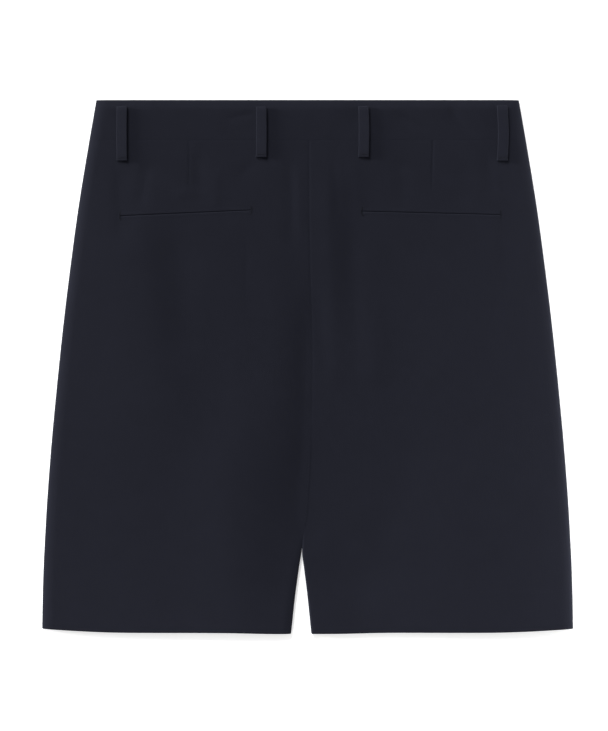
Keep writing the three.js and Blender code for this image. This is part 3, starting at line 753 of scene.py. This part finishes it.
navy_thread = sewing_thread()
on_back_panels = {"left": [], "right": []}
for word, pocket in POCKETS.items():

    def slit_down(along):
        return mix(pocket["inner_down"], pocket["outer_down"], along)

    for edge, beyond in (("upper", -1), ("lower", 1)):

        def welt_point(along, across):
            x = mix(pocket["inner"], pocket["outer"], along)
            down = slit_down(along) + beyond * (mix(*pocket["slits"], along) / 2 + across * WELT_WIDTH)
            fall = WELT_FALL["depth"] * math.exp(-WELT_FALL["rate"] * across)
            rise = WELT_CROWN * (1 - across * across) - fall
            return Vector((x, place_y(x, down), back_height(x, down) + rise)) * MM

        shares, rows = spread(0, 1, WELT_COLUMNS), spread(0, 1, WELT_ROWS)
        welt = laid_cloth(
            f"welt_{word}_{edge}",
            shares if word == "right" else shares[::-1],
            rows if beyond > 0 else rows[::-1],
            welt_point,
            WELT_CLOTH,
        )
        on_back_panels[word].append(finished(welt, navy_cloth, "navy_cloth", f"pocket_welt_{word}_{edge}"))

    ends = []
    for along, bow in POCKET_TACK_BOWS.items():
        x_end, down_end = mix(pocket["inner"], pocket["outer"], along), slit_down(along)
        for share in spread(-1, 1, POCKET_TACK["stitches"]):
            bowed = bow * (share * share - POCKET_TACK["bow_from"])
            x, down = x_end + math.copysign(1, x_end) * bowed, down_end + share * POCKET_TACK["reach"]
            middle = Vector((x, WAIST_Y - down, back_height(x, down) + POCKET_TACK["proud"]))
            ends.append((middle, POCKET_TACK["lean"] * share, POCKET_TACK["length"]))
    on_back_panels[word].append(sewn(f"pocket_tacks_{word}", ends))

# Belt loops
# Narrow strips folded to one and a half millimetres. The back ones stand off the waistband a little, and
# a tack shows at the foot of each. The front ones are pressed flat under the garment.
BACK_LOOPS = {
    "outer_left": {"x": -185, "top": 6.5, "foot": 61, "bow": -0.3},
    "inner_left": {"x": -46.2, "top": 7, "foot": 57.5, "bow": 0.2},
    "inner_right": {"x": 55.8, "top": 6.5, "foot": 57.5, "bow": 0.4},
    "outer_right": {"x": 193.8, "top": 6, "foot": 61, "bow": 1.1},
}
LOOP_BED = 0.15
LOOP_STAND_OFF = 0.4
LOOP_END = 6
LOOP_LEAVES_BAND = 3
LOOP_CROSSES_SEAM = (-1, 12)
LOOP_TILT = 0.5
LOOP_CROWN = 0.06
LOOP_ROUNDING = 0.55
FRONT_LOOP_ROUNDING = 0.5
LOOP_TACK = {"from_foot": 3, "narrower": 2.4, "stitches": 22, "length": 1.5, "proud": 0.04}


def round_edges(piece, width, segments=3, angle=CREASE_ANGLE):
    modifier = piece.modifiers.new("edges", "BEVEL")
    modifier.width = width * MM
    modifier.segments = segments
    modifier.limit_method = "ANGLE"
    modifier.angle_limit = math.radians(angle)
    bpy.context.view_layer.objects.active = piece
    bpy.ops.object.modifier_apply(modifier="edges")
    bpy.ops.object.shade_smooth_by_angle(angle=math.radians(angle))


for word, loop in BACK_LOOPS.items():
    loop_x, tack_down = loop["x"], loop["foot"] - LOOP_TACK["from_foot"]

    def loop_top(down):
        on_band = band_height(loop_x, min(down, WAISTBAND_DEPTH - LOOP_LEAVES_BAND))
        crossing = [WAISTBAND_DEPTH + beyond for beyond in LOOP_CROSSES_SEAM]
        bed = mix(on_band, back_height(loop_x, down), ease(*crossing, down))
        from_end = min(down - loop["top"], loop["foot"] - down)
        return bed + LOOP_BED + LOOP_CLOTH + LOOP_STAND_OFF * ease(-1, LOOP_END, from_end)

    def loop_point(across, down):
        bow = loop["bow"] * math.sin(math.pi * (down - loop["top"]) / (loop["foot"] - loop["top"]))
        x = loop_x + across * LOOP_WIDTH / 2 + bow
        crown = LOOP_CROWN * (1 - across**4) + LOOP_TILT * across
        return Vector((x, WAIST_Y - down, loop_top(down) + crown)) * MM

    def tack_point(beside):
        tilt = LOOP_TILT * beside / (LOOP_WIDTH / 2)
        return Vector((loop_x + beside, WAIST_Y - tack_down, loop_top(tack_down) + tilt + LOOP_TACK["proud"]))

    strip = laid_cloth(
        f"belt_loop_{word}",
        spread(-1, 1, steps=8),
        spread(loop["top"], loop["foot"], steps=40),
        loop_point,
        LOOP_CLOTH,
    )
    round_edges(strip, LOOP_ROUNDING)
    finished(strip, navy_cloth, "navy_cloth", f"belt_loop_back_{word}")
    tack_half = (LOOP_WIDTH - LOOP_TACK["narrower"]) / 2
    besides = spread(-tack_half, tack_half, LOOP_TACK["stitches"])
    side_by_side = [(tack_point(beside), math.pi / 2, LOOP_TACK["length"]) for beside in besides]
    on_it = [sewn(f"belt_loop_tack_{word}", side_by_side)]

for word, loop_x in FRONT_LOOPS.items():
    strip = laid_cloth(
        f"belt_loop_front_{word}_cloth",
        spread(-1, 1, steps=8),
        spread(FRONT_LOOP_TOP, FRONT_LOOP_FOOT, steps=20),
        lambda across, down: Vector((loop_x + across * LOOP_WIDTH / 2, WAIST_Y - down, 0)) * MM,
        LOOP_CLOTH,
        mirrored=True,
    )
    round_edges(strip, FRONT_LOOP_ROUNDING)
    finished(strip, navy_cloth, "navy_cloth", f"belt_loop_front_{word}")

# Front closure
# A four-hole resin button sewn to the waistband, and a woven zip with a coil chain in the fly. A curved
# row of stitches on the wearer's left front holds the fly.
HOLE = {"radius": 0.9, "pitch": 3}
BUTTON_RIM = {"width": 1.4, "slope": 0.6, "hollow": 0.5, "rounding": 0.45}
FACES_DOWN = -0.9
BUTTON_THREADS = {"beside": (-0.3, 0, 0.3), "low": 0.62, "past_holes": 0.5}
ZIP = {"x": -12, "top": 47, "bottom": 178, "half": 13, "tape": 0.5, "low": 1.8}
ZIP_FACE = ZIP["low"] + ZIP["tape"]
RIB_PITCHES = (0.0009, 0.0007)
COIL = {"radius": 1.25, "wire": 0.3, "squash": 0.55, "stretch": 1.2, "lean": 0.12, "beside": 0.85}
COIL_TURNS = 79
COIL_FROM_END = 2
SLIDER = {"top": 48, "length": 9, "half": 4, "height": 1.2, "over_tape": 0.7, "rounding": 0.4}
BRIDGE = {"radius": 0.9, "wire": 0.3}
TAB = {"half": 2.6, "below": 20, "over": 8, "thickness": 0.5, "level": 1.45, "rounding": 0.2}
TAB_HOLE = {"radius": 1.5, "from_end": 4.5}
FLY = {"out": -38, "straight": 150, "end": 186, "straight_share": 0.72, "short_of_seam": 1}
FLY_STITCHES = {"number": 66, "share": 0.008, "length": 1.9, "sunk": 0.02}


def carve(piece, cutters):
    """Takes the cutters' shapes out of a piece."""
    for cutter in cutters:
        modifier = piece.modifiers.new("hole", "BOOLEAN")
        modifier.object = cutter
        modifier.solver = "EXACT"
        bpy.context.view_layer.objects.active = piece
        bpy.ops.object.modifier_apply(modifier="hole")
        bpy.data.objects.remove(cutter)


def drill(x, y, radius, depth=10):
    place = (x * MM, y * MM, 0)
    bpy.ops.mesh.primitive_cylinder_add(vertices=20, radius=radius * MM, depth=depth * MM, location=place)
    return bpy.context.object


def block(size, middle):
    place, scale = [value * MM for value in middle], [value * MM for value in size]
    bpy.ops.mesh.primitive_cube_add(size=1, location=place, scale=scale)
    bpy.ops.object.transform_apply(location=True, rotation=False, scale=True)
    return bpy.context.object


button_y = WAIST_Y - BUTTON["down"]
bpy.ops.mesh.primitive_cylinder_add(
    vertices=48,
    radius=BUTTON["radius"] * MM,
    depth=BUTTON["thickness"] * MM,
    location=Vector((BUTTON["x"], button_y, BUTTON["thickness"] / 2)) * MM,
)
button = bpy.context.object
button.name = button.data.name = "waist_button_resin"
bpy.ops.object.transform_apply(location=True, rotation=False, scale=False)
bpy.ops.object.mode_set(mode="EDIT")
bpy.ops.mesh.select_all(action="DESELECT")
bpy.ops.object.mode_set(mode="OBJECT")
for face in button.data.polygons:
    face.select = face.normal.z < FACES_DOWN
bpy.ops.object.mode_set(mode="EDIT")
bpy.ops.mesh.inset(thickness=BUTTON_RIM["width"] * MM)
bpy.ops.mesh.inset(thickness=BUTTON_RIM["slope"] * MM, depth=-BUTTON_RIM["hollow"] * MM)
bpy.ops.object.mode_set(mode="OBJECT")
round_edges(button, BUTTON_RIM["rounding"], angle=40)
half_pitch = HOLE["pitch"] / 2
corners = [(dx, dy) for dx in (-half_pitch, half_pitch) for dy in (-half_pitch, half_pitch)]
carve(button, [drill(BUTTON["x"] + dx, button_y + dy, HOLE["radius"]) for dx, dy in corners])
button.select_set(True)
bpy.context.view_layer.objects.active = button
bpy.ops.object.shade_smooth_by_angle(angle=math.radians(35))
resin = Finish("dark_resin")
cloudy = resin.noise(resin.node("ShaderNodeTexCoord", {}, {}, "Object"), 220.0, stretch=(1, 3, 1), detail=4.0)
resin.shade(
    Base_Color=resin.blend(cloudy, (0.006, 0.006, 0.009), (0.024, 0.022, 0.024)),
    Roughness=0.28 + 0.12 * cloudy,
    Coat_Weight=0.15,
)
finished(button, resin.material, "button_horn", "waist_button")
loops_of_thread = []
for dx in (-half_pitch, half_pitch):
    for beside in BUTTON_THREADS["beside"]:
        middle = Vector((BUTTON["x"] + dx + beside, button_y, BUTTON_THREADS["low"]))
        loops_of_thread.append((middle, math.pi / 2, HOLE["pitch"] + BUTTON_THREADS["past_holes"]))
button_thread = sewn("button_thread", loops_of_thread, into=1)


def fly_path(share):
    """The fly's stitching: straight down, then curving in to the centre seam."""
    straight_share = FLY["straight_share"]
    if share < straight_share:
        return FLY["out"], mix(WAISTBAND_DEPTH + 2, FLY["straight"], share / straight_share)
    turn = (share - straight_share) / (1 - straight_share) * math.pi / 2
    reach = centre_line(FLY["end"]) - FLY["short_of_seam"] - FLY["out"]
    x = FLY["out"] + reach * (1 - math.cos(turn))
    return x, FLY["straight"] + (FLY["end"] - FLY["straight"]) * math.sin(turn)


fly_stitches = []
for start in spread(0, 1 - FLY_STITCHES["share"], FLY_STITCHES["number"]):
    (x0, down0), (x1, down1) = fly_path(start), fly_path(start + FLY_STITCHES["share"])
    angle = math.atan2(down0 - down1, x1 - x0)
    middle = Vector((x0, WAIST_Y - down0, FRONT_REST + FLY_STITCHES["sunk"]))
    fly_stitches.append((middle, angle, FLY_STITCHES["length"]))
fly_stitching = sewn("fly_stitching", fly_stitches, into=1)

tape = laid_cloth(
    "fly_zip_tape",
    spread(-ZIP["half"], ZIP["half"], steps=12),
    spread(ZIP["top"], ZIP["bottom"], steps=40),
    lambda beside, down: Vector((ZIP["x"] + beside, WAIST_Y - down, ZIP_FACE)) * MM,
    ZIP["tape"],
)
woven = Finish("zip_tape_weave")
tape_cut = woven.node("ShaderNodeUVMap", {"uv_map": "cut"}, {})
tape_across = woven.node("ShaderNodeSeparateXYZ", {}, {0: tape_cut})
turns_across, turns_along = (2 * math.pi / pitch for pitch in RIB_PITCHES)
ribs = (tape_across * turns_across).sine() * (tape_across.also("Y") * turns_along).sine()
woven.shade(
    Base_Color=woven.blend(0.5 + 0.5 * ribs, (0.008, 0.008, 0.012), (0.018, 0.018, 0.026)),
    Roughness=0.8,
    Normal=woven.bump(ribs, 0.0002, 0.5),
)
finished(tape, woven.material, "zip_tape", "fly_zip")

bpy.ops.mesh.primitive_torus_add(
    major_segments=10, minor_segments=5, major_radius=COIL["radius"] * MM, minor_radius=COIL["wire"] * MM
)
coil = bpy.context.object
for vertex in coil.data.vertices:
    vertex.co.y *= COIL["squash"]
    vertex.co.z = vertex.co.z * COIL["stretch"] + vertex.co.x * COIL["lean"]
turns_of_coil = []
coil_downs = spread(ZIP["top"] + COIL_FROM_END, ZIP["bottom"] - COIL_FROM_END, COIL_TURNS)
for number, down in enumerate(coil_downs):
    side = 1 if number % 2 else -1
    at = Vector((ZIP["x"] + COIL["beside"] * side, WAIST_Y - down, ZIP_FACE + COIL["wire"])) * MM
    turn_of_coil = copied(coil, Matrix.Translation(at) @ Matrix.Diagonal((side, 1, 1, 1)))
    if side < 0:
        turn_of_coil.data.flip_normals()
    turns_of_coil.append(turn_of_coil)
bpy.data.objects.remove(coil)
chain = joined("fly_zip_chain", turns_of_coil)
bpy.ops.object.shade_smooth()
nylon = Finish("zip_nylon")
wear = nylon.noise(nylon.node("ShaderNodeTexCoord", {}, {}, "Object"), 900.0)
nylon.shade(
    Base_Color=nylon.blend(wear, (0.010, 0.010, 0.014), (0.024, 0.024, 0.030)),
    Roughness=0.3 + 0.2 * wear,
)
finished(chain, nylon.material, "zip_tape")

slider_low = ZIP_FACE + SLIDER["over_tape"]
body_foot = WAIST_Y - SLIDER["top"] - SLIDER["length"]
body_middle = body_foot + SLIDER["length"] / 2
slider = block(
    size=(2 * SLIDER["half"], SLIDER["length"], SLIDER["height"]),
    middle=(ZIP["x"], body_middle, slider_low + SLIDER["height"] / 2),
)
for vertex in slider.data.vertices:
    if vertex.co.y < body_middle * MM:
        vertex.co.x = ZIP["x"] * MM + (vertex.co.x - ZIP["x"] * MM) * TAB["half"] / SLIDER["half"]
round_edges(slider, SLIDER["rounding"])
tab = block(
    size=(2 * TAB["half"], TAB["below"] + TAB["over"], TAB["thickness"]),
    middle=(ZIP["x"], body_foot + (TAB["over"] - TAB["below"]) / 2, slider_low + TAB["level"]),
)
hole_y = body_foot - TAB["below"] + TAB_HOLE["from_end"]
carve(tab, [drill(ZIP["x"], hole_y, TAB_HOLE["radius"])])
round_edges(tab, TAB["rounding"], segments=2, angle=60)
bpy.ops.mesh.primitive_torus_add(
    major_segments=20,
    minor_segments=8,
    major_radius=BRIDGE["radius"] * MM,
    minor_radius=BRIDGE["wire"] * MM,
    location=(ZIP["x"] * MM, body_middle * MM, (slider_low + SLIDER["height"]) * MM),
    rotation=(0, math.pi / 2, 0),
)
bridge = bpy.context.object
bpy.ops.object.transform_apply(location=True, rotation=True, scale=False)
slider = joined("zip_slider_metal", [slider, tab, bridge])
bpy.ops.object.shade_smooth_by_angle(angle=math.radians(40))
metal = Finish("satin_metal")
brushed = metal.noise(metal.node("ShaderNodeTexCoord", {}, {}, "Object"), 1500.0, stretch=(1, 0.1, 1))
metal.shade(
    Base_Color=metal.blend(brushed, (0.27, 0.27, 0.29), (0.38, 0.38, 0.40)),
    Metallic=1.0,
    Roughness=0.28 + 0.14 * brushed,
)
finished(slider, metal.material, "zip_metal", "zip_slider")

on_it = [chain, slider]
sewn_on_panels = {"left": [fly_stitching], "right": []}
sewn_on_bands = {"left": [button, button_thread], "right": []}
for word, panel in front_panels.items():
    on_it = sewn_on_panels[word]
    on_it = sewn_on_bands[word]

# Table, lights and camera
# A plain white table seen from straight above. The soft key light stands at the upper left, a low strip
# of light rakes over the cloth from the left, and white cards at three sides light the edges.
TABLE_SIZE = 6
WORLD_STRENGTH = 0.33
bpy.ops.mesh.primitive_plane_add(size=TABLE_SIZE, location=(0, 0, 0))
floor = bpy.context.object
floor.name = "floor"
white = Finish("white_table")
matt = white.noise(white.node("ShaderNodeTexCoord", {}, {}, "Object"), 40.0)
white.shade(
    Base_Color=white.blend(matt, (0.91, 0.91, 0.91), (0.93, 0.93, 0.93)),
    Roughness=0.9,
    Specular_IOR_Level=0.1,
    Emission_Color=(1, 1, 1, 1),
    Emission_Strength=0.4,
)
floor.data.materials.append(white.material)

world = bpy.data.worlds.new("studio")
world.use_nodes = True
world.node_tree.nodes["Background"].inputs["Color"].default_value = (1, 1, 1, 1)
world.node_tree.nodes["Background"].inputs["Strength"].default_value = WORLD_STRENGTH
bpy.context.scene.world = world

# Bearing from the wearer's right, anticlockwise, and height over the table, in degrees
LIGHTS = [
    {"name": "key", "bearing": 113, "height": 27, "spread": 24, "strength": 4.1},
    {"name": "left_strip", "bearing": 167, "height": 7, "spread": 12, "strength": 5.6},
]
for light in LIGHTS:
    lamp = bpy.data.lights.new(light["name"], "SUN")
    lamp.energy = light["strength"]
    lamp.angle = math.radians(light["spread"])
    turn, rise = math.radians(light["bearing"]), math.radians(light["height"])
    towards = Vector((math.cos(turn) * math.cos(rise), math.sin(turn) * math.cos(rise), math.sin(rise)))
    linked(light["name"], lamp).rotation_euler = (-towards).to_track_quat("-Z", "Y").to_euler()

# White cards that stand on the table just outside the picture, as wide and as high as given
CARDS = [
    {"name": "left_card", "at": (-0.345, 0, 0.07), "turn": -90, "wide": 0.62, "high": 0.14, "power": 0.17},
    {"name": "right_card", "at": (0.345, 0, 0.0155), "turn": 90, "wide": 0.62, "high": 0.03, "power": 1},
    {"name": "right_fill", "at": (0.36, 0, 0.07), "turn": 90, "wide": 0.62, "high": 0.14, "power": 0.12},
    {"name": "hem_card", "at": (0, -0.42, 0.06), "turn": 0, "wide": 0.62, "high": 0.12, "power": 0.53},
]
for card in CARDS:
    face = bpy.data.lights.new(card["name"], "AREA")
    face.shape = "RECTANGLE"
    face.size, face.size_y = card["wide"], card["high"]
    face.energy = card["power"]
    card_object = linked(card["name"], face)
    card_object.location = card["at"]
    card_object.rotation_euler = (math.pi / 2, 0, math.radians(card["turn"]))

PHOTO_WIDTH = 0.608
PHOTO_CENTRE = Vector((-0.0036, 0.0015, 0))
FOCAL_LENGTH = 120
SENSOR = 36
camera = bpy.data.cameras.new("camera")
camera.sensor_fit = "HORIZONTAL"
camera.sensor_width = SENSOR
camera.lens = FOCAL_LENGTH
camera.clip_start, camera.clip_end = 0.1, 20
camera_object = linked("camera", camera)
camera_object.location = PHOTO_CENTRE + Vector((0, 0, PHOTO_WIDTH * FOCAL_LENGTH / SENSOR))
scene = bpy.context.scene
scene.camera = camera_object
scene.view_settings.view_transform = "Standard"
